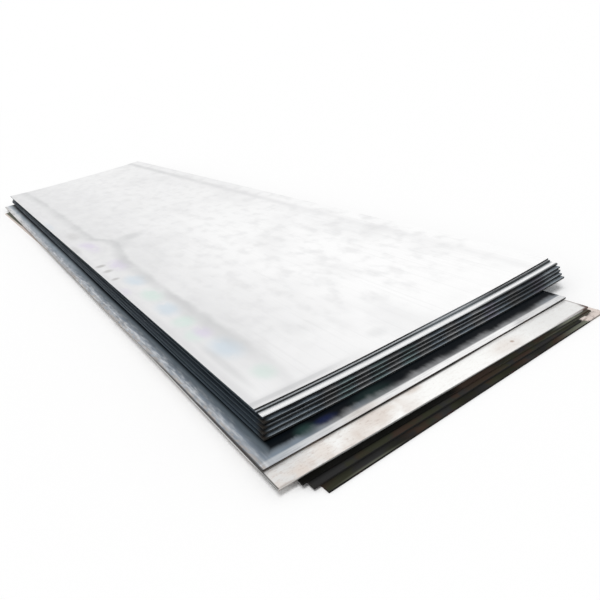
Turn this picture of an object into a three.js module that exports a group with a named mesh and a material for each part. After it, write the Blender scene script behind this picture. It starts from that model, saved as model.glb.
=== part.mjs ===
// A stack of hot-rolled steel plates, stored flat on the floor.
//
// Seven newer plates lie on two wider-set weathered plates, which lie on three rusty ones. Each
// plate is a solid of its own and only rests on the one below. The newer plates have a slight
// cross bow: their middle lies flat and their long edges turn up by a few millimetres.
//
// Units are millimetres. X runs across the plates, +Y along them from the near end to the far
// end, and +Z is up. The origin is the centre of the lowest plate's underside.

import * as THREE from 'three';

// Driving dimensions.
const PLATE_LENGTH = 6000;
const PLATE_THICKNESS = 8;
const AIR_GAP = 0.5; // scale and unevenness keep the plates this far apart
const NEW_WIDTH = 1568; // mill edges, not trimmed
const WEATHERED_WIDTH = 1500;
const RUSTY_WIDTH = 1420;
const NARROW_RUSTY_WIDTH = 1358;
const FLAT_MIDDLE = 465; // width of the middle that a bowed plate lies flat on
const BOW_STEPS = 7; // faces on each side of the flat middle

// The kinds of stock, with the finish that their surfaces have.
const NEW = { width: NEW_WIDTH, color: 0xd5d8db, roughness: 0.45, metalness: 0.6 };
const WEATHERED = { width: WEATHERED_WIDTH, color: 0xc4bfba, roughness: 0.6, metalness: 0.4 };
const RUSTY = { width: RUSTY_WIDTH, color: 0x3d352b, roughness: 0.85, metalness: 0.2 };
const NARROW_RUSTY = { ...RUSTY, width: NARROW_RUSTY_WIDTH };

// The layers from the floor up. left and near place a plate's near left corner, measured from the
// near left corner of the top plate; turn is its skew in degrees, anticlockwise from above; bow is
// how far its long edges turn up. Plate 1 of each kind is its uppermost one.
const LAYERS = [
  { name: 'bottom_plate_3', stock: RUSTY, left: 15, near: -391, turn: 1.42, bow: 0 },
  { name: 'bottom_plate_2', stock: NARROW_RUSTY, left: -13, near: -355, turn: 0.6, bow: 0 },
  { name: 'bottom_plate_1', stock: RUSTY, left: -34, near: -324, turn: -0.25, bow: 0 },
  { name: 'middle_plate_2', stock: WEATHERED, left: -106, near: -302, turn: -0.4, bow: 0 },
  { name: 'middle_plate_1', stock: WEATHERED, left: -102, near: -206, turn: -0.08, bow: 3 },
  { name: 'upper_plate_7', stock: NEW, left: -31, near: -94, turn: -0.35, bow: 10 },
  { name: 'upper_plate_6', stock: NEW, left: -23, near: -78, turn: -0.3, bow: 10.7 },
  { name: 'upper_plate_5', stock: NEW, left: -12, near: -63, turn: -0.3, bow: 11.3 },
  { name: 'upper_plate_4', stock: NEW, left: -1, near: -51, turn: -0.35, bow: 12 },
  { name: 'upper_plate_3', stock: NEW, left: 8, near: -33, turn: -0.3, bow: 12.7 },
  { name: 'upper_plate_2', stock: NEW, left: 2, near: -1, turn: -0.25, bow: 13.3 },
  { name: 'upper_plate_1', stock: NEW, left: 0, near: 5, turn: -0.15, bow: 14 },
];

// Height of a bowed plate's underside across its width, as [x, z] points from left to right: flat
// in the middle, then a parabola up to each long edge.
function undersideProfile(width, bow) {
  const middle = width / 2;
  const flatHalf = FLAT_MIDDLE / 2;
  const rightHalf = [];
  for (let step = 0; step <= BOW_STEPS; step += 1) {
    const share = step / BOW_STEPS;
    rightHalf.push([flatHalf + (middle - flatHalf) * share, bow * share ** 2]);
  }
  const leftHalf = rightHalf.map(([x, z]) => [-x, z]).reverse();
  return [...leftHalf, ...rightHalf].map(([x, z]) => [middle + x, z]);
}

// A plate with its near left corner at x = 0, y = 0 and the flat part of its underside at z = 0.
function plateGeometry(width, bow) {
  if (bow === 0) {
    const box = new THREE.BoxGeometry(width, PLATE_LENGTH, PLATE_THICKNESS);
    return box.translate(width / 2, PLATE_LENGTH / 2, PLATE_THICKNESS / 2);
  }
  const underside = undersideProfile(width, bow);
  const top = underside.map(([x, z]) => [x, z + PLATE_THICKNESS]).reverse();
  const section = new THREE.Shape([...underside, ...top].map(([x, z]) => new THREE.Vector2(x, z)));
  const plate = new THREE.ExtrudeGeometry(section, { depth: PLATE_LENGTH, bevelEnabled: false });
  return plate.rotateX(Math.PI / 2).translate(0, PLATE_LENGTH, 0);
}

// One plate of the stack, laid at its own corner, skew and height.
function layPlate(layer, level) {
  const { width, ...finish } = layer.stock;
  const material = new THREE.MeshStandardMaterial(finish);
  const plate = new THREE.Mesh(plateGeometry(width, layer.bow), material);
  plate.name = layer.name;
  plate.position.set(layer.left, layer.near, level * (PLATE_THICKNESS + AIR_GAP));
  plate.rotation.z = THREE.MathUtils.degToRad(layer.turn);
  return plate;
}

// The stack, moved so that the centre of the lowest plate's underside is at the origin.
const stack = new THREE.Group();
LAYERS.forEach((layer, level) => stack.add(layPlate(layer, level)));

const lowest = stack.children[0];
const lowestCentre = new THREE.Vector3(RUSTY_WIDTH / 2, PLATE_LENGTH / 2, 0);
lowestCentre.applyEuler(lowest.rotation).add(lowest.position);
stack.position.copy(lowestCentre).negate();

export default stack;
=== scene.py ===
# Steel plate stack: detailed plates, their finishes and a plain stage, built around the packed
# solids. Lengths are metres in the solids' own frame: X across the plates, +Y along them and
# +Z up, with the origin under the middle of the lowest plate.

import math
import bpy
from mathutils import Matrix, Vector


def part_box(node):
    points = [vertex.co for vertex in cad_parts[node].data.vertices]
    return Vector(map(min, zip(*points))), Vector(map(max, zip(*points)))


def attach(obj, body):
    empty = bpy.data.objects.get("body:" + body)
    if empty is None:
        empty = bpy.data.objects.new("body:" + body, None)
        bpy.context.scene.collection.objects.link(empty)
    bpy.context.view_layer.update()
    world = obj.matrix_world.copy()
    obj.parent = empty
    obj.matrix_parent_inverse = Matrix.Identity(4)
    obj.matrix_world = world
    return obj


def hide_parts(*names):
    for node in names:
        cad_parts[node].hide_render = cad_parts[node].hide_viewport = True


bl_info = {
    "name": "Steel Plate Stack",
    "version": (1, 0, 0),
    "blender": (4, 5, 0),
    "location": "View3D > Sidebar > Steel Plates",
    "description": "Makes a stack of hot-rolled steel plates with scale, water stains and rust",
    "category": "Object",
}

import bpy
from bpy.props import FloatProperty, FloatVectorProperty, PointerProperty
from mathutils import Vector

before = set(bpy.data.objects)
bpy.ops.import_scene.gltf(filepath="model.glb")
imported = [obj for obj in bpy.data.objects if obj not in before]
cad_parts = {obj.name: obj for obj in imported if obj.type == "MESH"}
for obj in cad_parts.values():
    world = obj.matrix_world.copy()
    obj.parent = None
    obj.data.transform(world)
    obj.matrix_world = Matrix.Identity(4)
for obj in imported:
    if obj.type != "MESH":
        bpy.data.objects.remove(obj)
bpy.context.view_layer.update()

# The plates from the top down. The finishes know each by its number in this order: 1 to 7 are the
# newer plates, 8 and 9 the weathered ones, and 10 to 12 the rusty ones.
NEW_PLATES = [f"upper_plate_{number}" for number in range(1, 8)]
WEATHERED_PLATES = ["middle_plate_1", "middle_plate_2"]
RUSTY_PLATES = ["bottom_plate_1", "bottom_plate_2", "bottom_plate_3"]
PLATES = NEW_PLATES + WEATHERED_PLATES + RUSTY_PLATES
PLATE_LENGTH = 6.0


# ---------------------------------------------------------------------------- settings


def linear(hex_colour):
    """An sRGB hex colour as linear red, green, blue and alpha."""
    parts = [int(hex_colour[start : start + 2], 16) / 255 for start in (1, 3, 5)]
    return [c / 12.92 if c <= 0.04045 else ((c + 0.055) / 1.055) ** 2.4 for c in parts] + [1.0]


def colour(name, description, hex_colour):
    """A colour that a user can change."""
    return FloatVectorProperty(
        name=name,
        description=description,
        default=linear(hex_colour),
        subtype="COLOR",
        size=4,
        min=0.0,
        max=1.0,
    )


def length(name, description, metres):
    """A length that a user can change."""
    return FloatProperty(
        name=name, description=description, default=metres, unit="LENGTH", min=0.0, precision=4
    )


class PlateShape(bpy.types.PropertyGroup):
    """Sizes that every plate shares"""

    thickness: length("Thickness", "Thickness of each plate", 0.008)
    flat_middle: length("Flat middle", "Width of the middle that a bowed plate lies flat on", 0.465)
    edge_round: length("Edge round", "How far the cut edges are rounded off", 0.0009)
    edge_wander: length("Edge wander", "How far the untrimmed edges wander inwards", 0.0025)
    across_step: length("Step across", "Width of one face of the mesh", 0.05)
    along_step: length("Step along", "Length of one face of the mesh", 0.1)


class NewPlateFinish(bpy.types.PropertyGroup):
    """Colours of the newer plates"""

    scale: colour("Scale", "Pale mill scale", "#FEFEFE")
    dull: colour("Dull scale", "Duller patches of scale", "#DCDCDD")
    tide: colour("Tide line", "Lines left by drying water", "#C6C7C8")
    violet: colour("Violet film", "Thinnest oxide film", "#DDD7E5")
    blue: colour("Blue film", "Thicker oxide film", "#D4DEE6")
    green: colour("Green film", "Thickest oxide film", "#D8E6E0")
    dirt: colour("Dirt", "Small marks of rust and dirt", "#85807C")
    blue_scale: colour("Blue scale", "Blue-grey mill scale of the lower ones", "#69757F")
    dull_blue: colour("Dull blue scale", "Darker patches of it", "#20262C")
    # Painted shade along the left edges of the blue plates.
    margin: colour("Dark margin", "Thicker scale along the left edges", "#3A444D")
    grey_film: colour("Grey film", "Greyer places of the blue scale", "#808080")
    teal_film: colour("Teal film", "Greener places of the blue scale", "#6E8480")
    violet_film: colour("Violet scale", "More violet places of the blue scale", "#74727E")
    corner: colour("Corner rust", "Brown rust on the near left corners", "#2A2622")
    # The lip colour is a painted highlight on the near lips of the blue plates, painted shade next
    # to the plate above on the pale ones, and wear elsewhere.
    lip_wear_and_light: colour("Lip", "Worn lips and brighter places of the scale", "#9AA2A8")
    dull_lip: colour("Dull lip", "Darker right end of the pale scale's lip", "#4A4F53")
    cut: colour("Cut edge", "Scale on the sheared edges", "#1E1F20")
    cut_steel: colour("Bare cut edge", "Bare streaks on the sheared edges", "#404244")
    mill_edge: colour("Mill edge", "Scale on the untrimmed long edges", "#3A4650")


class WeatheredPlateFinish(bpy.types.PropertyGroup):
    """Colours of the two weathered plates"""

    # The darkest colour stands for dark scale and for painted shade where the stock above shades
    # this plate; the films below lie on that shade.
    dark_scale_and_shade: colour("Sheltered scale", "Scale that the stock above sheltered", "#0C1014")
    scale: colour("Scale", "Grey scale nearer the rim", "#8D8E90")
    blue: colour("Blue scale", "Bluer scale of it towards both sides", "#818C98")
    cast: colour("Blue cast", "Bluer cast of the left side", "#EEFBFF")
    navy: colour("Navy film", "Oxide film on the sheltered scale", "#182040")
    teal: colour("Teal film", "Another oxide film on it", "#2B4340")
    rim: colour("Rim", "Rain-washed rim of the upper one", "#FAFAFA")
    dust: colour("Dust", "Warm grey dust along the left edges", "#B3ABA4")
    pale: colour("Pale face", "Rain-bleached face of the lower one", "#FFFFFD")
    dull: colour("Dull face", "Duller ends of the lower one", "#E0E0DF")
    bloom: colour("Rust bloom", "Faint rust bloom of the lower one", "#E2D8D0")
    freckle: colour("Freckle", "Rust freckles", "#A98F7F")
    stain: colour("Stain", "Brown stain along the right end of the lower one", "#5A4038")
    cut: colour("Cut edge", "Scale on the cut edges", "#1F1C1A")
    cut_rust: colour("Rusty cut edge", "Brown rust on the cut edges", "#4A3A32")


class RustyPlateFinish(bpy.types.PropertyGroup):
    """Colours of the three rusty plates"""

    scale: colour("Scale", "Dark scale", "#2E2E2E")
    olive: colour("Olive rust", "Olive rust film", "#313226")
    brown: colour("Brown rust", "Brown rust film", "#3A2E27")
    grey_green: colour("Grey-green film", "Paler film at the ends and on worn lips", "#74776A")
    bleached: colour("Bleached end", "Pale pinkish right ends and far margin", "#DFD3CC")
    # Dark rust, and painted shade under the plate above.
    dark_rust_and_shade: colour("Sheltered rust", "Darkest rust under the plate above", "#0B0B09")
    cut: colour("Cut edge", "Rusty cut edges", "#151411")
    red: colour("Red rust", "Red rust on the cut edges", "#3A1B17")


class StageSettings(bpy.types.PropertyGroup):
    """Camera, lamps and floor"""

    camera_place: FloatVectorProperty(
        name="Camera place",
        description="Where the camera stands",
        default=(-1.2557, -4.2190, 1.2488),
        subtype="TRANSLATION",
        unit="LENGTH",
    )
    camera_turn: FloatVectorProperty(
        name="Camera turn",
        description="How the camera is turned",
        default=[math.radians(angle) for angle in (65.301, 10.164, -33.072)],
        subtype="EULER",
        unit="ROTATION",
    )
    lens: FloatProperty(
        name="Lens", description="Focal length", default=35.25, unit="CAMERA", min=10, max=200
    )
    sky: FloatProperty(
        name="Sky level", description="Strength of the even light", default=0.55, min=0, max=2
    )
    key: FloatProperty(
        name="Key level", description="Strength of the soft key lamp", default=1.46, min=0, max=10
    )
    key_turn: FloatVectorProperty(
        name="Key turn",
        description="Direction of the key lamp",
        default=[math.radians(angle) for angle in (15, 0, -35)],
        subtype="EULER",
        unit="ROTATION",
    )
    key_spread: FloatProperty(
        name="Key spread",
        description="Angle that the key lamp fills in the sky",
        default=math.radians(30),
        subtype="ANGLE",
        unit="ROTATION",
    )
    floor: colour("Floor", "Plain pale floor", "#FFFFFF")
    floor_size: length("Floor size", "Width of the floor", 80.0)


# ------------------------------------------------------------------------------- nodes


def add_node(tree, kind, inputs=None, **settings):
    """Adds a node, sets its properties, and gives each named socket a link or a value.

    A link comes from a socket, or from another node, which stands for its first output.
    """
    node = tree.nodes.new(kind)
    for name, value in settings.items():
        setattr(node, name, value)
    for name, value in (inputs or {}).items():
        if isinstance(value, bpy.types.Node):
            value = value.outputs[0]
        if isinstance(value, bpy.types.NodeSocket):
            tree.links.new(value, node.inputs[name])
        else:
            node.inputs[name].default_value = value
    return node


# ------------------------------------------------------------------------------ plates

PLATE_INPUTS = {
    "NodeSocketFloat": ("Width", "Length", "Thickness", "Bow", "Flat Middle", "Edge Wander", "Turn"),
    "NodeSocketInt": ("Columns", "Rows", "Plate Number"),
    "NodeSocketVector": ("Near Left Corner",),
    "NodeSocketMaterial": ("Face Finish", "Edge Finish"),
}


def plate_tree():
    """The rule for a plate: a box whose long edges bow up and wander, laid at its corner."""
    tree = bpy.data.node_groups.new("rolled_plate", "GeometryNodeTree")
    for kind, names in PLATE_INPUTS.items():
        for name in names:
            tree.interface.new_socket(name, in_out="INPUT", socket_type=kind)
    tree.interface.new_socket("Plate", in_out="OUTPUT", socket_type="NodeSocketGeometry")
    given = add_node(tree, "NodeGroupInput").outputs

    half_width = add_node(tree, "ShaderNodeMath", {0: given["Width"], 1: 0.5}, operation="MULTIPLY")
    half_flat = add_node(
        tree, "ShaderNodeMath", {0: given["Flat Middle"], 1: 0.5}, operation="MULTIPLY"
    )
    size = add_node(
        tree,
        "ShaderNodeCombineXYZ",
        {"X": given["Width"], "Y": given["Length"], "Z": given["Thickness"]},
    )
    half_size = add_node(tree, "ShaderNodeVectorMath", {0: size, "Scale": 0.5}, operation="SCALE")
    counts = {"Vertices X": given["Columns"], "Vertices Y": given["Rows"], "Vertices Z": 2}
    box = add_node(tree, "GeometryNodeMeshCube", {"Size": size, **counts})
    cornered = add_node(tree, "GeometryNodeTransform", {"Geometry": box, "Translation": half_size})

    # The plate's own coordinates and number, which the finishes read.
    place = add_node(tree, "GeometryNodeInputPosition")
    to_far_right = add_node(tree, "ShaderNodeVectorMath", {0: size, 1: place}, operation="SUBTRACT")
    known = cornered
    for name, value, kind in (
        ("plate_place", place, "FLOAT_VECTOR"),
        ("plate_rest", to_far_right, "FLOAT_VECTOR"),
        ("plate_number", given["Plate Number"], "FLOAT"),
    ):
        known = add_node(
            tree,
            "GeometryNodeStoreNamedAttribute",
            {"Geometry": known, "Name": name, "Value": value},
            data_type=kind,
        )

    # Bow: a parabola from the flat middle up to each long edge.
    axes = add_node(tree, "ShaderNodeSeparateXYZ", {"Vector": place})
    from_middle = add_node(
        tree, "ShaderNodeMath", {0: axes.outputs["X"], 1: half_width}, operation="SUBTRACT"
    )
    distance = add_node(tree, "ShaderNodeMath", {0: from_middle}, operation="ABSOLUTE")
    share = add_node(
        tree,
        "ShaderNodeMapRange",
        {"Value": distance, "From Min": half_flat, "From Max": half_width},
    )
    squared = add_node(tree, "ShaderNodeMath", {0: share, 1: 2.0}, operation="POWER")
    lift = add_node(tree, "ShaderNodeMath", {0: squared, 1: given["Bow"]}, operation="MULTIPLY")

    # Wander: the untrimmed long edges waver inwards along the plate.
    reading_point = add_node(
        tree,
        "ShaderNodeCombineXYZ",
        {"X": axes.outputs["X"], "Y": axes.outputs["Y"], "Z": given["Plate Number"]},
    )
    waver = add_node(
        tree,
        "ShaderNodeTexNoise",
        {"Vector": reading_point, "Scale": 1.4, "Detail": 2.0, "Roughness": 0.6},
    )
    near_edge = add_node(
        tree,
        "ShaderNodeMapRange",
        {"Value": share, "From Min": 0.85, "From Max": 1.0},
        interpolation_type="SMOOTHSTEP",
    )
    side = add_node(tree, "ShaderNodeMath", {0: from_middle}, operation="SIGN")
    shift = given["Edge Wander"]
    for factor in (waver, side, near_edge, -1.0):
        shift = add_node(tree, "ShaderNodeMath", {0: shift, 1: factor}, operation="MULTIPLY")
    offset = add_node(tree, "ShaderNodeCombineXYZ", {"X": shift, "Z": lift})
    bowed = add_node(tree, "GeometryNodeSetPosition", {"Geometry": known, "Offset": offset})

    turn = add_node(tree, "ShaderNodeCombineXYZ", {"Z": given["Turn"]})
    laid = add_node(
        tree,
        "GeometryNodeTransform",
        {"Geometry": bowed, "Translation": given["Near Left Corner"], "Rotation": turn},
    )
    smooth = add_node(tree, "GeometryNodeSetShadeSmooth", {"Geometry": laid})
    real = add_node(tree, "GeometryNodeRealizeInstances", {"Geometry": smooth})

    # Side faces take the cut edge's finish, and the two broad faces the other.
    normal = add_node(tree, "GeometryNodeInputNormal")
    facing = add_node(tree, "ShaderNodeSeparateXYZ", {"Vector": normal})
    upright = add_node(tree, "ShaderNodeMath", {0: facing.outputs["Z"]}, operation="ABSOLUTE")
    is_side = add_node(tree, "FunctionNodeCompare", {"A": upright, "B": 0.5}, operation="LESS_THAN")
    faced = add_node(
        tree, "GeometryNodeSetMaterial", {"Geometry": real, "Material": given["Face Finish"]}
    )
    finished = add_node(
        tree,
        "GeometryNodeSetMaterial",
        {"Geometry": faced, "Selection": is_side, "Material": given["Edge Finish"]},
    )
    add_node(tree, "NodeGroupOutput", {"Plate": finished})
    return tree


def cad_plate(node, thickness):
    """Where a solid plate's near left corner is, how it is turned and bowed, and its sizes."""
    points = [vertex.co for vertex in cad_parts[node].data.vertices]
    near_left = min(points, key=lambda point: point.x + point.y)
    near_right = max(points, key=lambda point: point.x - point.y)
    far_left = min(points, key=lambda point: point.x - point.y)
    low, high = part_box(node)
    across = near_right - near_left
    return {
        "Width": across.xy.length,
        "Length": (far_left - near_left).xy.length,
        "Bow": max(0.0, high.z - low.z - thickness),
        "Near Left Corner": Vector((near_left.x, near_left.y, low.z)),
        "Turn": math.atan2(across.y, across.x),
    }


def make_plate(node, face_finish, edge_finish):
    """Makes one plate in place of its solid, with rounded edges, as a plain mesh."""
    shape = bpy.context.scene.plate_shape
    tree = bpy.data.node_groups.get("rolled_plate") or plate_tree()
    values = cad_plate(node, shape.thickness)
    values.update(
        {
            "Thickness": shape.thickness,
            "Flat Middle": shape.flat_middle,
            "Edge Wander": shape.edge_wander,
            "Columns": round(values["Width"] / shape.across_step) + 1,
            "Rows": round(values["Length"] / shape.along_step) + 1,
            "Plate Number": PLATES.index(node) + 1,
            "Face Finish": face_finish,
            "Edge Finish": edge_finish,
        }
    )
    plate = bpy.data.objects.new("plate_" + node, bpy.data.meshes.new("plate_" + node))
    bpy.context.scene.collection.objects.link(plate)
    rule = plate.modifiers.new("rolled_plate", "NODES")
    rule.node_group = tree
    for item in tree.interface.items_tree:
        if item.in_out == "INPUT":
            rule[item.identifier] = values[item.name]
    rounding = plate.modifiers.new("edge_round", "BEVEL")
    rounding.width = shape.edge_round
    rounding.segments = 2
    rounding.harden_normals = True
    graph = bpy.context.evaluated_depsgraph_get()
    mesh = bpy.data.meshes.new_from_object(
        plate.evaluated_get(graph), preserve_all_data_layers=True, depsgraph=graph
    )
    plate.modifiers.clear()
    plate.data = mesh
    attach(plate, "root")
    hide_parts(node)
    return plate


# ---------------------------------------------------------------------------- finishes


class Finish:
    """A steel finish being made: its material, its colour so far and a plate's coordinates."""

    def __init__(self, name, base):
        self.material = bpy.data.materials.new(name)
        self.material.use_nodes = True
        self.tree = self.material.node_tree
        self.tree.nodes.clear()
        self.colour = base
        place, rest, number = [
            add_node(self.tree, "ShaderNodeAttribute", attribute_name=attribute)
            for attribute in ("plate_place", "plate_rest", "plate_number")
        ]
        self.place, self.number = place.outputs["Vector"], number.outputs["Fac"]
        from_near_left = add_node(self.tree, "ShaderNodeSeparateXYZ", {0: self.place})
        from_far_right = add_node(self.tree, "ShaderNodeSeparateXYZ", {0: rest.outputs["Vector"]})
        self.across, self.along, self.height = from_near_left.outputs
        self.across_left = from_far_right.outputs["X"]

    def overlap(self, *masks):
        """Where all the masks overlap: their product."""
        product = masks[0]
        for mask in masks[1:]:
            factors = {0: product, 1: mask}
            product = add_node(self.tree, "ShaderNodeMath", factors, operation="MULTIPLY")
        return product

    def distance(self, value, point):
        """How far a value is from a point, on either side."""
        past = add_node(self.tree, "ShaderNodeMath", {0: value, 1: point}, operation="SUBTRACT")
        return add_node(self.tree, "ShaderNodeMath", {0: past}, operation="ABSOLUTE")

    def fade(self, value, start, end, at_start=1.0, at_end=0.0):
        """A smooth change from at_start, where value is start, to at_end, where it is end."""
        ends = {"From Min": start, "From Max": end, "To Min": at_start, "To Max": at_end}
        return add_node(
            self.tree,
            "ShaderNodeMapRange",
            {"Value": value, **ends},
            interpolation_type="SMOOTHSTEP",
        )

    def rise(self, value, start, end, strength=1.0):
        """A smooth rise from 0, where value is start, to strength, where it is end."""
        return self.fade(value, start, end, 0.0, strength)

    def on_plates(self, first, last=None, strength=1.0):
        """The strength on the plates of those numbers, and 0 on the others."""
        last = last or first
        reach = (last - first) / 2
        from_middle = self.distance(self.number, (first + last) / 2)
        return self.fade(from_middle, reach + 0.4, reach + 0.6, strength)

    def patches(self, across_mm, along_mm, start, full, strength, seed, least=0.0):
        """Cloudy patches of about that size: least up to start, and strength from full on."""
        per_metre = (1000 / across_mm, 1000 / along_mm, 1000 / across_mm)
        stretched = add_node(
            self.tree, "ShaderNodeVectorMath", {0: self.place, 1: per_metre}, operation="MULTIPLY"
        )
        layer = add_node(self.tree, "ShaderNodeMath", {0: self.number, 1: seed}, operation="ADD")
        cloud = add_node(
            self.tree,
            "ShaderNodeTexNoise",
            {"Vector": stretched, "W": layer, "Scale": 1.0, "Detail": 3.0, "Roughness": 0.55},
            noise_dimensions="4D",
        )
        return self.fade(cloud, start, full, least, strength)

    def mark(self, across, along, half_width, half_length, strength):
        """A soft oval mark round a point of the plate, full in its middle fifth."""
        towards = add_node(
            self.tree,
            "ShaderNodeVectorMath",
            {0: self.place, 1: (across, along, 0)},
            operation="SUBTRACT",
        )
        in_radii = add_node(
            self.tree,
            "ShaderNodeVectorMath",
            {0: towards, 1: (1 / half_width, 1 / half_length, 0)},
            operation="MULTIPLY",
        )
        radius = add_node(self.tree, "ShaderNodeVectorMath", {0: in_radii}, operation="LENGTH")
        return self.fade(radius.outputs["Value"], 0.2, 1.0, strength)

    def lay(self, over, *masks, blend="MIX"):
        """Lays a colour over what is there, where its masks overlap."""
        mix = add_node(
            self.tree,
            "ShaderNodeMix",
            {0: self.overlap(*masks), 6: self.colour, 7: over},
            data_type="RGBA",
            blend_type=blend,
        )
        self.colour = mix.outputs[2]

    def steel(self, metallic, smoothest, roughest, grain_mm, relief_mm, specular=0.5):
        """Ends the finish: patchy gloss between two roughnesses, and a grain in relief.

        The grain of scale and rust is finer than a millimetre, and is drawn coarser to show.
        """
        grain = add_node(
            self.tree,
            "ShaderNodeTexNoise",
            {"Vector": self.place, "Scale": 1000 / grain_mm, "Detail": 3.0, "Roughness": 0.6},
        )
        relief = add_node(
            self.tree, "ShaderNodeBump", {"Height": grain, "Distance": relief_mm / 1000}
        )
        gloss = self.patches(90, 250, 0.35, 0.65, 1.0, seed=90)
        roughness = self.fade(gloss, 0.0, 1.0, smoothest, roughest)
        shader = add_node(
            self.tree,
            "ShaderNodeBsdfPrincipled",
            {
                "Base Color": self.colour,
                "Metallic": metallic,
                "Roughness": roughness,
                "Specular IOR Level": specular,
                "Normal": relief,
            },
        )
        add_node(self.tree, "ShaderNodeOutputMaterial", {"Surface": shader})
        return self.material


# Where the tide line runs, as metres along (y) and across (x) from the near left corner.
TIDE_LINE = (
    (0.0, 0.165),
    (0.12, 0.199),
    (0.25, 0.221),
    (0.51, 0.212),
    (1.19, 0.2),
    (1.83, 0.207),
    (2.1, 0.212),
    (2.4, 0.252),
    (2.65, 0.29),
    (2.82, 0.25),
    (2.96, 0.2),
    (3.1, 0.194),
    (4.1, 0.199),
    (4.9, 0.196),
    (PLATE_LENGTH, 0.165),
)
# Smaller marks: metres across and along, half width, half length and strength.
WATER_MARKS = (
    (0.065, 0.38, 0.03, 0.34, 0.35),
    (0.41, 2.69, 0.12, 0.13, 0.6),
    (0.3, 2.6, 0.09, 0.25, 0.3),
    (0.424, 0.424, 0.06, 0.15, 0.15),
    (0.633, 0.107, 0.07, 0.06, 0.2),
    (0.8, 0.72, 0.07, 0.1, 0.12),
)
# Rust and dirt near the left edge of the top plate.
DIRT_MARKS = (
    (0.049, 2.18, 0.045, 0.045, 0.55),
    (0.056, 2.03, 0.045, 0.045, 0.45),
    (0.048, 1.835, 0.035, 0.035, 0.45),
    (0.1, 3.2, 0.07, 0.2, 0.2),
    (0.02, 2.75, 0.04, 0.2, 0.2),
)
# Films of oxide colour, named as in the settings, with the same five numbers.
FILM_MARKS = (
    ("green", 0.155, 0.2, 0.07, 0.1, 0.7),
    ("blue", 0.14, 0.5, 0.1, 0.17, 0.9),
    ("green", 0.08, 0.72, 0.06, 0.12, 0.6),
    ("violet", 0.13, 0.72, 0.06, 0.11, 0.9),
    ("green", 0.11, 0.9, 0.08, 0.11, 0.9),
    ("blue", 0.11, 1.12, 0.08, 0.16, 0.9),
    ("green", 0.12, 1.38, 0.08, 0.17, 0.9),
    ("blue", 0.13, 1.7, 0.09, 0.17, 0.9),
    ("violet", 0.01, 1.56, 0.06, 0.12, 0.7),
    ("violet", 0.15, 2.1, 0.09, 0.2, 0.9),
    ("violet", 0.104, 2.72, 0.09, 0.27, 1.0),
    ("blue", 0.02, 3.8, 0.05, 0.3, 0.5),
)
# Films on the near lips of the blue plates: how strong each is, and metres across to its spots.
LIP_FILMS = {
    "grey_film": (0.8, (0.285, 0.435, 0.585, 0.735, 0.885, 1.035, 1.26)),
    "teal_film": (0.55, (0.36, 0.51, 0.66)),
    "violet_film": (0.8, (1.11, 1.41)),
}
# Where the painted shade on the upper weathered plate reaches nearer its rim.
PAINTED_SHADE_MARKS = (
    (0.35, 0.09, 0.06, 0.06, 0.5),
    (0.63, 0.085, 0.07, 0.06, 1.0),
    (0.87, 0.082, 0.08, 0.06, 1.0),
    (1.2, 0.09, 0.05, 0.06, 0.5),
    (1.32, 0.08, 0.08, 0.06, 1.0),
)
# Rust blooms of the lower weathered plate.
BLOOM_MARKS = (
    (0.34, 0.03, 0.08, 0.07, 0.5),
    (0.42, 0.07, 0.12, 0.08, 0.8),
    (0.62, 0.09, 0.06, 0.03, 0.8),
    (1.06, 0.04, 0.12, 0.07, 0.5),
)
# Darker rust along the near edge of the lowest plate.
DARK_RUST_MARKS = (
    (0.3, 0.0, 0.1, 0.05, 0.5),
    (0.63, 0.0, 0.12, 0.06, 0.5),
    (0.85, 0.0, 0.1, 0.05, 0.35),
    (1.02, 0.02, 0.08, 0.04, 0.3),
)


def pale_scale():
    """Hot-rolled steel: thin pale mill scale with faint streaks along the rolling."""
    colours = bpy.context.scene.new_plate_finish
    finish = Finish("pale_mill_scale", colours.scale)
    finish.lay(colours.dull, finish.patches(500, 900, 0.45, 0.7, 0.2, seed=1))
    finish.lay(colours.dull, finish.patches(12, 600, 0.5, 0.75, 0.12, seed=2))

    # The near lip is worn, most on the upper one, and dark towards the right. From about 20 mm in,
    # next to the plate above, the scale is painted as grey as the lip, as shade of that plate.
    worn = finish.fade(finish.number, 2.0, 3.0, 0.9, 0.5)
    finish.lay(colours.lip_wear_and_light, worn, finish.fade(finish.along, 0.003, 0.009))
    finish.lay(
        colours.dull_lip,
        finish.fade(finish.along, 0.004, 0.012),
        finish.rise(finish.across, 0.95, 1.2, 0.9),
    )
    finish.lay(colours.lip_wear_and_light, finish.rise(finish.along, 0.02, 0.032, 0.8))
    return finish.steel(metallic=0.25, smoothest=0.45, roughest=0.6, grain_mm=3, relief_mm=0.02)


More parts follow.
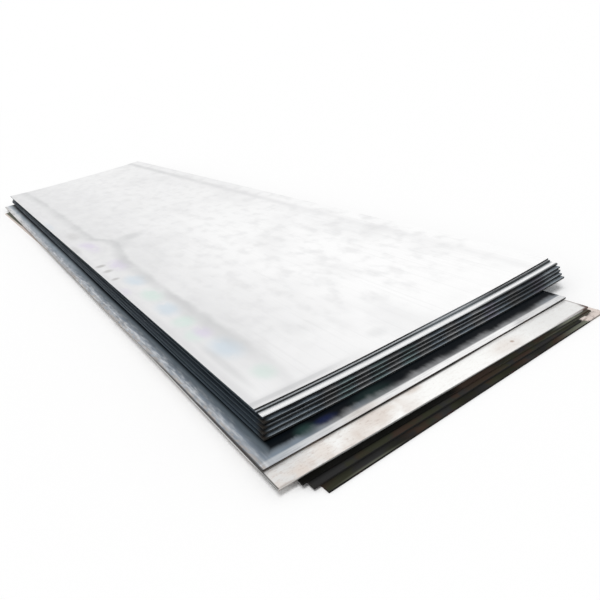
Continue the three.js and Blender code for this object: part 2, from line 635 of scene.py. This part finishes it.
def blue_scale():
    """Hot-rolled steel: thicker blue-grey mill scale, dark at the sides, worn at the near lip."""
    colours = bpy.context.scene.new_plate_finish
    finish = Finish("blue_mill_scale", colours.blue_scale)

    # Darkest on the second of the four plates, with clouds that fade away from it.
    finish.lay(colours.dull_blue, finish.on_plates(5, strength=0.5))
    clouds = finish.patches(220, 400, 0.4, 0.58, 1.0, seed=13)
    from_darkest = finish.distance(finish.number, 5.0)
    finish.lay(colours.dull_blue, clouds, finish.fade(from_darkest, 0.5, 2.0, 0.9, 0.3))

    # Lighter at the right side. Along the near lip a painted highlight, with the rest of the strip
    # kept darker as painted shade of the plate above, and painted shade along the left edge.
    finish.lay(colours.lip_wear_and_light, finish.fade(finish.across_left, 0.07, 0.14, 0.6))
    finish.lay(colours.lip_wear_and_light, finish.fade(finish.along, 0.002, 0.007, 0.6))
    finish.lay(colours.margin, finish.fade(finish.across, 0.012, 0.03, 0.95))

    # Duller and brighter stretches of the lips, and the films on them.
    finish.lay(colours.dull_blue, finish.mark(1.31, 0.0, 0.2, 0.3, 0.6))
    finish.lay(colours.dull_blue, finish.on_plates(4), finish.mark(0.62, 0.0, 0.16, 0.3, 0.5))
    finish.lay(colours.lip_wear_and_light, finish.on_plates(6), finish.mark(1.0, 0.0, 0.24, 0.3, 0.45))
    finish.lay(colours.lip_wear_and_light, finish.on_plates(7), finish.mark(0.12, 0.0, 0.1, 0.3, 0.45))
    for film, (strength, spots) in LIP_FILMS.items():
        blend = "SATURATION" if film == "grey_film" else "COLOR"
        for across in spots:
            spot = finish.mark(across, 0.0, 0.055, 0.3, strength)
            finish.lay(getattr(colours, film), spot, blend=blend)
    finish.lay(colours.corner, finish.mark(0.0, 0.0, 0.03, 0.06, 1.0))
    return finish.steel(metallic=0.9, smoothest=0.35, roughest=0.5, grain_mm=3, relief_mm=0.03)


def stained_scale():
    """The same pale scale after rain: tide lines, films of oxide colour beside them, and dirt."""
    colours = bpy.context.scene.new_plate_finish
    finish = Finish("rain_stained_mill_scale", colours.scale)
    across, along = finish.across, finish.along

    # Painted shade: duller to the left and further along, for the reflected light falling off there;
    # also duller at the left edge and at the near edge towards the left.
    finish.lay(
        colours.dull,
        finish.fade(across, 0.1, 0.95, 0.65),
        finish.fade(along, 0.2, 0.6, 0.65, 1.0),
    )
    finish.lay(colours.dull, finish.rise(along, 0.6, 4.5, 0.45))
    finish.lay(colours.dull, finish.fade(across, 0.015, 0.05, 0.7))
    finish.lay(colours.dull, finish.fade(along, 0.03, 0.07), finish.fade(across, 0.2, 0.6, 0.6))

    # A thin line along the near edge, towards the left.
    finish.lay(
        colours.tide,
        finish.fade(finish.distance(along, 0.028), 0.006, 0.02, 0.6),
        finish.fade(across, 0.2, 0.5),
    )

    # Large and small clouds, fine streaks along the rolling, and a dull band on the right.
    finish.lay(colours.dull, finish.patches(500, 900, 0.45, 0.7, 0.4, seed=1))
    finish.lay(
        colours.dull,
        finish.patches(80, 150, 0.44, 0.7, 0.42, seed=16),
        finish.fade(along, 0.1, 0.5, 0.2, 1.0),
    )
    finish.lay(colours.dull, finish.patches(10, 800, 0.5, 0.75, 0.2, seed=2))
    band = finish.overlap(
        finish.fade(finish.distance(finish.across_left, 0.113), 0.0, 0.05),
        finish.fade(along, 0.4, 4.5, 0.2, 0.85),
    )
    finish.lay(colours.dull, band)
    finish.lay(colours.tide, band, finish.rise(along, 3.8, 5.0, 0.4))

    # How far a point is to the right of the tide line, which wavers.
    share = add_node(finish.tree, "ShaderNodeMath", {0: along, 1: PLATE_LENGTH}, operation="DIVIDE")
    line = add_node(finish.tree, "ShaderNodeFloatCurve", {"Value": share})
    curve = line.mapping.curves[0]
    near, *between, far = [(y / PLATE_LENGTH, x) for y, x in TIDE_LINE]
    curve.points[0].location = near
    curve.points[1].location = far
    for point in between:
        curve.points.new(*point)
    line.mapping.update()
    past_line = add_node(finish.tree, "ShaderNodeMath", {0: across, 1: line}, operation="SUBTRACT")
    waver = finish.patches(200, 200, 0.2, 0.8, 0.015, seed=14, least=-0.015)
    beside = add_node(finish.tree, "ShaderNodeMath", {0: past_line, 1: waver}, operation="ADD")

    # Films of oxide colour on the wetted strip to the left of the line.
    wetted = finish.overlap(
        finish.rise(beside, -0.24, -0.15),
        finish.fade(beside, -0.02, 0.01),
        finish.patches(60, 90, 0.25, 0.5, 1.0, seed=3),
    )
    for film, *mark in FILM_MARKS:
        finish.lay(getattr(colours, film), wetted, finish.mark(*mark))

    # What the water left behind: the line itself, marks and dirt.
    finish.lay(
        colours.tide,
        finish.rise(beside, -0.09, -0.005),
        finish.fade(beside, -0.005, 0.035),
        finish.fade(along, 0.0, 0.8, 0.3, 1.0),
        finish.patches(150, 400, 0.3, 0.6, 0.65, seed=17, least=0.3),
    )
    for mark in WATER_MARKS:
        finish.lay(colours.tide, finish.mark(*mark))
    for mark in DIRT_MARKS:
        finish.lay(colours.dirt, finish.mark(*mark))
    return finish.steel(metallic=0.9, smoothest=0.3, roughest=0.42, grain_mm=3, relief_mm=0.02)


def sheared_edge():
    """Dark scaled edges: sheared at the ends, with bare streaks, and untrimmed along the sides."""
    colours = bpy.context.scene.new_plate_finish
    finish = Finish("scaled_edge", colours.cut)
    finish.lay(colours.cut_steel, finish.patches(60, 60, 0.45, 0.7, 0.8, seed=6))

    # Worn on the two top plates, and black at the right of the third. The long edges have the
    # mill's own scale, and four of the near left corners are brown.
    finish.lay(colours.lip_wear_and_light, finish.mark(0.96, 0.0, 0.3, 0.3, 0.4), finish.on_plates(1, 2))
    finish.lay(colours.cut, finish.on_plates(3), finish.rise(finish.across, 1.0, 1.2))
    strength = finish.fade(finish.number, 5.0, 7.0, 0.75, 1.0)
    for from_long_edge in (finish.across, finish.across_left):
        finish.lay(colours.mill_edge, finish.fade(from_long_edge, 0.003, 0.004), strength)
    finish.lay(colours.corner, finish.mark(0.0, 0.0, 0.03, 0.06, 0.9), finish.on_plates(4, 7))
    return finish.steel(metallic=0.3, smoothest=0.5, roughest=0.7, grain_mm=2, relief_mm=0.1)


def weathered_scale():
    """Blue-black scale, darkened with painted shade where the stock above shades it, washed pale by
    rain at the rim.
    """
    colours = bpy.context.scene.weathered_plate_finish
    finish = Finish("blue_scale_and_painted_shade", colours.dark_scale_and_shade)
    across, along = finish.across, finish.along

    # How far in from the nearer rim a point is: uneven except along the left.
    inwards = add_node(finish.tree, "ShaderNodeMath", {0: across, 1: along}, operation="MINIMUM")
    off_left = finish.overlap(
        finish.rise(across, 0.08, 0.16),
        finish.fade(across, 1.1, 1.3, 1.0, 0.4),
    )
    coarse = finish.patches(90, 60, 0.3, 0.7, 0.005, seed=7, least=-0.005)
    fine = finish.patches(22, 60, 0.3, 0.7, 0.006, seed=21, least=-0.006)
    far = finish.fade(along, 2.0, 3.2, 0.0, -0.01)
    for change in (finish.overlap(coarse, off_left), finish.overlap(fine, off_left), far):
        inwards = add_node(finish.tree, "ShaderNodeMath", {0: inwards, 1: change}, operation="ADD")

    # Grey scale towards the rim, outside the middle left dark as painted shade, bluer at both sides.
    nearer = finish.fade(inwards, 0.03, finish.fade(across, 0.9, 1.1, 0.08, 0.072))
    finish.lay(colours.scale, nearer)
    finish.lay(colours.blue, nearer, finish.fade(across, 0.15, 0.35))
    finish.lay(colours.blue, nearer, finish.rise(across, 1.36, 1.42, 0.4))

    # Places where the painted shade reaches nearer the rim, and films of oxide colour on it.
    for mark in PAINTED_SHADE_MARKS:
        finish.lay(colours.dark_scale_and_shade, finish.mark(*mark))
    finish.lay(colours.navy, finish.mark(0.29, 0.07, 0.07, 0.032, 0.9))
    finish.lay(colours.teal, finish.mark(0.21, 0.07, 0.06, 0.05, 0.7))
    finish.lay(colours.teal, finish.mark(0.5, 0.06, 0.13, 0.07, 0.35))
    finish.lay(colours.blue, finish.mark(0.43, 0.045, 0.06, 0.03, 0.35))

    # The left side: a painted shade line beside the stock above, a blue cast, and a paler far end.
    finish.lay(
        colours.dark_scale_and_shade,
        finish.fade(finish.distance(across, 0.049), 0.0, 0.022, 0.42),
        finish.fade(along, 2.0, 3.5),
        finish.rise(along, 0.03, 0.08),
    )
    finish.lay(
        colours.cast,
        finish.rise(across, 0.035, 0.06),
        finish.fade(across, 0.1, 0.2),
        finish.fade(along, 0.03, 0.1, 0.2, 1.0),
        blend="MULTIPLY",
    )
    finish.lay(colours.rim, finish.rise(along, 4.0, 5.4, 0.5), finish.fade(across, 0.03, 0.06))

    # The washed rim at the near end, with a rust bloom, and along the left edge.
    finish.lay(
        colours.rim,
        finish.fade(across, 0.04, 0.2, 0.55, 1.0),
        finish.fade(across, 0.2, 0.75, 0.64, 1.0),
        finish.fade(finish.across_left, 0.27, 0.34, 0.72, 1.0),
        finish.fade(along, 0.026, 0.036),
    )
    finish.lay(colours.bloom, finish.mark(0.42, 0.015, 0.12, 0.03, 0.5))
    finish.lay(colours.rim, finish.fade(across, 0.026, 0.034, 0.15))
    finish.lay(
        colours.rim,
        finish.fade(finish.distance(across, 0.022), 0.001, 0.004),
        finish.patches(30, 70, 0.35, 0.6, 0.3, seed=19),
    )

    # Pale and dark specks along the left, streaks on the near rim, and dust on the left arris.
    speckled = finish.overlap(
        finish.fade(across, 0.02, 0.065),
        finish.fade(along, 0.1, 0.6, 0.4, 1.0),
    )
    finish.lay(colours.rim, speckled, finish.patches(11, 70, 0.42, 0.7, 0.45, seed=23))
    finish.lay(colours.dark_scale_and_shade, speckled, finish.patches(11, 70, 0.42, 0.7, 0.4, seed=24))
    finish.lay(
        colours.dark_scale_and_shade,
        finish.fade(along, 0.026, 0.034),
        finish.patches(90, 7, 0.42, 0.72, 0.22, seed=25),
    )
    finish.lay(
        colours.dust,
        finish.fade(across, 0.012, 0.02),
        finish.patches(14, 30, 0.4, 0.6, 0.7, seed=20),
    )
    finish.lay(colours.dark_scale_and_shade, finish.mark(0.004, 3.2, 0.018, 1.1, 0.2))

    # The left arris is dark at the near end, and along the right edge is painted shade under the
    # overhanging stock above.
    finish.lay(colours.cut, finish.fade(across, 0.003, 0.006, 0.7), finish.fade(along, 0.7, 1.3))
    finish.lay(
        colours.dark_scale_and_shade,
        finish.fade(finish.across_left, 0.015, 0.03),
        finish.rise(along, 0.03, 0.06),
    )
    metallic = finish.fade(inwards, 0.045, 0.075, 0.9)
    return finish.steel(
        metallic=metallic, smoothest=0.3, roughest=0.45, grain_mm=3, relief_mm=0.02, specular=0.02
    )


def rain_bleached_face():
    """Plate face left out in the rain: pale, with a faint bloom and freckles of rust."""
    colours = bpy.context.scene.weathered_plate_finish
    finish = Finish("rain_bleached_plate", colours.pale)
    across, along = finish.across, finish.along

    # Duller towards both sides, with a bloom of rust, most of it on the left.
    finish.lay(colours.dull, finish.fade(across, 0.05, 0.35, 0.9))
    finish.lay(colours.dull, finish.fade(finish.across_left, 0.1, 0.6, 0.7))
    finish.lay(
        colours.bloom,
        finish.patches(180, 180, 0.42, 0.56, 0.9, seed=8),
        finish.fade(across, 0.45, 0.65),
    )
    finish.lay(colours.pale, finish.mark(0.22, 0.05, 0.09, 0.12, 0.25))
    for mark in BLOOM_MARKS:
        finish.lay(colours.bloom, finish.mark(*mark))

    # The near lip: bare metal gone brown on the right, and dust at the left corner.
    finish.lay(colours.stain, finish.rise(across, 1.25, 1.42), finish.fade(along, 0.002, 0.01, 0.6))
    finish.lay(colours.dust, finish.mark(0.03, 0.0, 0.06, 0.012, 0.8))

    # Painted shade of the plate above, from about its near edge on.
    dark_from = finish.fade(across, 0.78, 1.28, 0.091, 0.107)
    dark_by = finish.fade(across, 0.78, 1.28, 0.099, 0.115)
    finish.lay(
        colours.dark_scale_and_shade,
        finish.rise(along, dark_from, dark_by, 0.8),
        finish.rise(across, 0.15, 0.4),
        finish.rise(finish.across_left, 0.05, 0.15),
    )

    # Rust freckles, most on the left, and one larger speck.
    freckled = finish.fade(across, 0.4, 0.6, 1.0, 0.4)
    for freckles in (
        finish.patches(45, 14, 0.5, 0.75, 0.25, seed=45),
        finish.patches(14, 6, 0.5, 0.75, 0.35, seed=14),
    ):
        finish.lay(colours.freckle, freckles, freckled)
    finish.lay(colours.freckle, finish.mark(1.096, 0.048, 0.012, 0.012, 0.75))

    # Brown and dark arrises at the right and left edges, and the brown near right corner.
    finish.lay(colours.stain, finish.fade(finish.across_left, 0.003, 0.012, 0.5))
    finish.lay(colours.cut, finish.fade(across, 0.004, 0.007, 0.8))
    finish.lay(colours.stain, finish.mark(1.5, 0.01, 0.024, 0.045, 1.0))
    finish.lay(colours.stain, finish.mark(1.47, 0.0, 0.06, 0.008, 0.8))
    return finish.steel(metallic=0.4, smoothest=0.4, roughest=0.55, grain_mm=3, relief_mm=0.03)


def weathered_edge():
    """Cut edge of the weathered plates: dark scale going brown."""
    colours = bpy.context.scene.weathered_plate_finish
    finish = Finish("weathered_cut_edge", colours.cut)
    across, along = finish.across, finish.along
    upper, lower = finish.on_plates(8), finish.on_plates(9)
    finish.lay(colours.cut_rust, finish.patches(120, 120, 0.45, 0.65, 0.7, seed=10))

    # The left edges: dusty further along, dark near the end on the upper one, pale on the lower.
    left_edge = finish.fade(across, 0.003, 0.004)
    finish.lay(colours.dust, left_edge, finish.rise(along, 0.9, 1.5, 0.9))
    finish.lay(colours.dark_scale_and_shade, left_edge, finish.fade(along, 0.6, 1.1, 0.8), upper)
    finish.lay(colours.dull, left_edge, finish.rise(along, 0.1, 0.2, 0.9), lower)

    # The lower one's near edge has a dusty left corner, a worn top and a bare right end that
    # turns brown. The upper one's has a dusty foot at its left.
    near_edge = finish.fade(along, 0.003, 0.004)
    finish.lay(colours.dust, near_edge, finish.fade(across, 0.04, 0.1, 0.6), lower)
    worn_from = finish.fade(finish.distance(across, 0.5), 0.22, 0.4, -0.003, 0.0025)
    finish.lay(colours.dull, finish.fade(finish.height, worn_from, 0.006, 0.03, 0.75), lower)
    finish.lay(
        colours.dust,
        finish.fade(finish.height, 0.0, 0.006, 0.35),
        finish.fade(across, 0.15, 0.25),
        upper,
    )
    finish.lay(colours.dull, finish.rise(across, 1.28, 1.4, 0.6), lower)
    finish.lay(colours.stain, finish.fade(finish.across_left, 0.03, 0.045, 0.9), lower)
    return finish.steel(
        metallic=0.2, smoothest=0.6, roughest=0.8, grain_mm=2, relief_mm=0.1, specular=0.3
    )


def rusty_face():
    """Face of the oldest plates: dark scale under a thin olive and brown rust."""
    colours = bpy.context.scene.rusty_plate_finish
    finish = Finish("rusted_plate", colours.scale)
    across, along = finish.across, finish.along
    top, lower_two, lowest = finish.on_plates(10), finish.on_plates(11, 12), finish.on_plates(12)
    finish.lay(colours.olive, finish.patches(150, 150, 0.45, 0.55, 0.9, seed=11))
    finish.lay(colours.brown, finish.patches(150, 150, 0.5, 0.6, 0.9, seed=15))

    # Painted shade under the plates above, as dark rust: all over on the top one, and on the others
    # from a little way in, most on the left.
    behind_lip = finish.overlap(
        finish.rise(along, 0.012, 0.035),
        finish.fade(finish.number, 10.0, 12.0, 0.9, 0.4),
    )
    dark = add_node(finish.tree, "ShaderNodeMath", {0: behind_lip, 1: top}, operation="MAXIMUM")
    nearer_left = finish.fade(across, 0.65, 1.05, 1.0, 0.25)
    finish.lay(colours.dark_rust_and_shade, dark, nearer_left)

    # Dark and grey-green places on the lowest one's lip, and a brown band on the other two.
    for mark in DARK_RUST_MARKS:
        finish.lay(colours.dark_rust_and_shade, lowest, finish.mark(*mark))
    finish.lay(colours.grey_green, lowest, finish.mark(0.17, 0.0, 0.19, 0.012, 0.5))
    finish.lay(
        colours.brown,
        finish.fade(finish.distance(across, 0.76), 0.06, 0.13, 0.6),
        finish.on_plates(10, 11),
    )

    # A grey-green film towards the right, and at the far left of the lowest one.
    finish.lay(
        colours.grey_green,
        lowest,
        finish.rise(across, 1.1, 1.3),
        finish.fade(along, 0.0, 0.045, 1.0, 0.25),
    )
    finish.lay(
        colours.grey_green,
        lowest,
        finish.fade(across, 0.04, 0.1),
        finish.rise(along, 3.5, 5.0, 0.8),
    )
    finish.lay(
        colours.grey_green,
        finish.rise(across, 1.17, 1.31),
        finish.rise(along, 0.006, 0.012),
        top,
    )

    # The right ends: brown on the top one, and bleached with brown spots on the others. The
    # lowest one is bleached along its far left margin too.
    finish.lay(colours.brown, finish.rise(across, 1.34, 1.38, 0.6), top)
    finish.lay(colours.bleached, lowest, finish.rise(across, 1.305, 1.32))
    margin_from = finish.fade(along, 4.8, 5.3, 0.031, 0.01)
    margin_to = finish.fade(along, 4.8, 5.3, 0.039, 0.018)
    finish.lay(
        colours.bleached,
        finish.fade(across, margin_from, margin_to),
        finish.rise(along, 3.3, 3.8, 0.9),
        lowest,
    )
    finish.lay(colours.bleached, finish.rise(across, 1.315, 1.33), lower_two)
    finish.lay(
        colours.brown,
        finish.patches(16, 12, 0.55, 0.7, 0.6, seed=22),
        finish.rise(across, 1.3, 1.32),
    )
    return finish.steel(
        metallic=0.0, smoothest=0.7, roughest=0.9, grain_mm=3, relief_mm=0.1, specular=0.05
    )


def rusty_edge():
    """Cut edge of the oldest plates: rough dark rust."""
    colours = bpy.context.scene.rusty_plate_finish
    finish = Finish("rusted_cut_edge", colours.cut)
    across, along = finish.across, finish.along
    finish.lay(colours.red, finish.patches(80, 80, 0.5, 0.65, 0.7, seed=12))
    finish.lay(colours.scale, finish.on_plates(11, strength=0.7))

    # The top one goes from dark to brown, olive and grey-green along its near edge.
    top = finish.on_plates(10)
    finish.lay(colours.dark_rust_and_shade, top, finish.fade(across, 0.5, 0.68, 0.9))
    finish.lay(colours.brown, top, finish.rise(across, 0.6, 0.7, 0.8))
    finish.lay(colours.olive, top, finish.rise(across, 0.82, 0.9, 0.8))
    finish.lay(colours.grey_green, top, finish.rise(across, 1.05, 1.2, 0.3))

    # Bleached right ends of the other two, and far left edge of the lowest.
    finish.lay(
        colours.bleached,
        finish.rise(across, 1.315, 1.33),
        finish.fade(finish.number, 11.0, 12.0, 0.9, 0.35),
        finish.on_plates(11, 12),
    )
    finish.lay(
        colours.bleached,
        finish.fade(across, 0.003, 0.004),
        finish.rise(along, 3.0, 3.6, 0.85),
        finish.on_plates(12),
    )
    return finish.steel(
        metallic=0.0, smoothest=0.75, roughest=0.95, grain_mm=2, relief_mm=0.2, specular=0.2
    )


# --------------------------------------------------------------------------- operators


class STEEL_PLATES_OT_new(bpy.types.Operator):
    """Make the seven newer plates, the top one stained by rain"""

    bl_idname = "steel_plates.make_new"
    bl_label = "Make the newer plates"

    def execute(self, context):
        edge = sheared_edge()
        stained, pale, blue = stained_scale(), pale_scale(), blue_scale()
        faces = (stained, pale, pale, blue, blue, blue, blue)
        for node, face in zip(NEW_PLATES, faces):
            make_plate(node, face, edge)
        return {"FINISHED"}


class STEEL_PLATES_OT_weathered(bpy.types.Operator):
    """Make the two weathered plates under them"""

    bl_idname = "steel_plates.make_weathered"
    bl_label = "Make the weathered plates"

    def execute(self, context):
        edge = weathered_edge()
        faces = (weathered_scale(), rain_bleached_face())
        for node, face in zip(WEATHERED_PLATES, faces):
            make_plate(node, face, edge)
        return {"FINISHED"}


class STEEL_PLATES_OT_rusty(bpy.types.Operator):
    """Make the three rusty plates at the bottom"""

    bl_idname = "steel_plates.make_rusty"
    bl_label = "Make the rusty plates"

    def execute(self, context):
        face, edge = rusty_face(), rusty_edge()
        for node in RUSTY_PLATES:
            make_plate(node, face, edge)
        return {"FINISHED"}


class STEEL_PLATES_OT_stage(bpy.types.Operator):
    """Make the floor, the white surroundings, the soft key lamp and the camera"""

    bl_idname = "steel_plates.make_stage"
    bl_label = "Make the stage"

    def execute(self, context):
        stage = context.scene.stage_settings
        make_floor(stage)
        make_surroundings(stage)
        make_key_lamp(stage)
        make_camera(stage)
        return {"FINISHED"}


def make_floor(stage):
    """A plain pale floor that takes the stack's shadow."""
    material = bpy.data.materials.new("matt_pale_floor")
    material.use_nodes = True
    tree = material.node_tree
    tree.nodes.clear()
    shader = add_node(tree, "ShaderNodeBsdfDiffuse", {"Color": stage.floor})
    add_node(tree, "ShaderNodeOutputMaterial", {"Surface": shader})
    half = stage.floor_size / 2
    corners = [(-half, -half, 0), (half, -half, 0), (half, half, 0), (-half, half, 0)]
    mesh = bpy.data.meshes.new("floor")
    mesh.from_pydata(corners, [], [(0, 1, 2, 3)])
    mesh.materials.append(material)
    floor = bpy.data.objects.new("floor", mesh)
    bpy.context.scene.collection.objects.link(floor)


def make_surroundings(stage):
    """Even light from all round, with a white sky behind and in reflections."""
    world = bpy.data.worlds.new("white_surroundings")
    bpy.context.scene.world = world
    world.use_nodes = True
    tree = world.node_tree
    tree.nodes.clear()
    ray = add_node(tree, "ShaderNodeLightPath")
    white = ray.outputs["Is Camera Ray"]
    for kind in ("Is Glossy Ray", "Is Transmission Ray"):
        kinds = {0: white, 1: ray.outputs[kind]}
        white = add_node(tree, "ShaderNodeMath", kinds, operation="MAXIMUM")
    level = add_node(tree, "ShaderNodeMapRange", {"Value": white, "To Min": stage.sky})
    light = add_node(
        tree, "ShaderNodeBackground", {"Color": (1.0, 1.0, 1.0, 1.0), "Strength": level}
    )
    add_node(tree, "ShaderNodeOutputWorld", {"Surface": light})


def make_key_lamp(stage):
    """A soft lamp high in front and to the left, which doesn't show in reflections."""
    lamp = bpy.data.lights.new("key_lamp", "SUN")
    lamp.energy = stage.key
    lamp.angle = stage.key_spread
    key = bpy.data.objects.new("key_lamp", lamp)
    key.rotation_euler = stage.key_turn
    key.visible_glossy = False
    bpy.context.scene.collection.objects.link(key)


def make_camera(stage):
    """The camera, near the stack's near left corner and a little rolled."""
    camera = bpy.data.objects.new("camera", bpy.data.cameras.new("camera"))
    camera.data.lens = stage.lens
    camera.location = stage.camera_place
    camera.rotation_euler = stage.camera_turn
    bpy.context.scene.collection.objects.link(camera)
    bpy.context.scene.camera = camera


class STEEL_PLATES_PT_panel(bpy.types.Panel):
    """Lists the steps that make the stack"""

    bl_idname = "STEEL_PLATES_PT_panel"
    bl_label = "Steel plate stack"
    bl_space_type = "VIEW_3D"
    bl_region_type = "UI"
    bl_category = "Steel Plates"

    def draw(self, context):
        for operator in OPERATORS:
            self.layout.operator(operator.bl_idname)
        for name in SETTINGS:
            group = getattr(context.scene, name)
            box = self.layout.box()
            for key in group.bl_rna.properties.keys():
                if key not in {"rna_type", "name"}:
                    box.prop(group, key)


SETTINGS = {
    "plate_shape": PlateShape,
    "new_plate_finish": NewPlateFinish,
    "weathered_plate_finish": WeatheredPlateFinish,
    "rusty_plate_finish": RustyPlateFinish,
    "stage_settings": StageSettings,
}
OPERATORS = (
    STEEL_PLATES_OT_new,
    STEEL_PLATES_OT_weathered,
    STEEL_PLATES_OT_rusty,
    STEEL_PLATES_OT_stage,
)


def register():
    """Adds the settings, the operators and the panel."""
    for name, group in SETTINGS.items():
        bpy.utils.register_class(group)
        setattr(bpy.types.Scene, name, PointerProperty(type=group))
    for operator in OPERATORS:
        bpy.utils.register_class(operator)
    bpy.utils.register_class(STEEL_PLATES_PT_panel)


def unregister():
    """Takes them away again."""
    bpy.utils.unregister_class(STEEL_PLATES_PT_panel)
    for operator in reversed(OPERATORS):
        bpy.utils.unregister_class(operator)
    for name, group in SETTINGS.items():
        delattr(bpy.types.Scene, name)
        bpy.utils.unregister_class(group)


def main():
    register()
    bpy.context.scene.view_settings.view_transform = "Standard"
    bpy.ops.steel_plates.make_new()
    bpy.ops.steel_plates.make_weathered()
    bpy.ops.steel_plates.make_rusty()
    bpy.ops.steel_plates.make_stage()


if __name__ == "__main__":
    main()
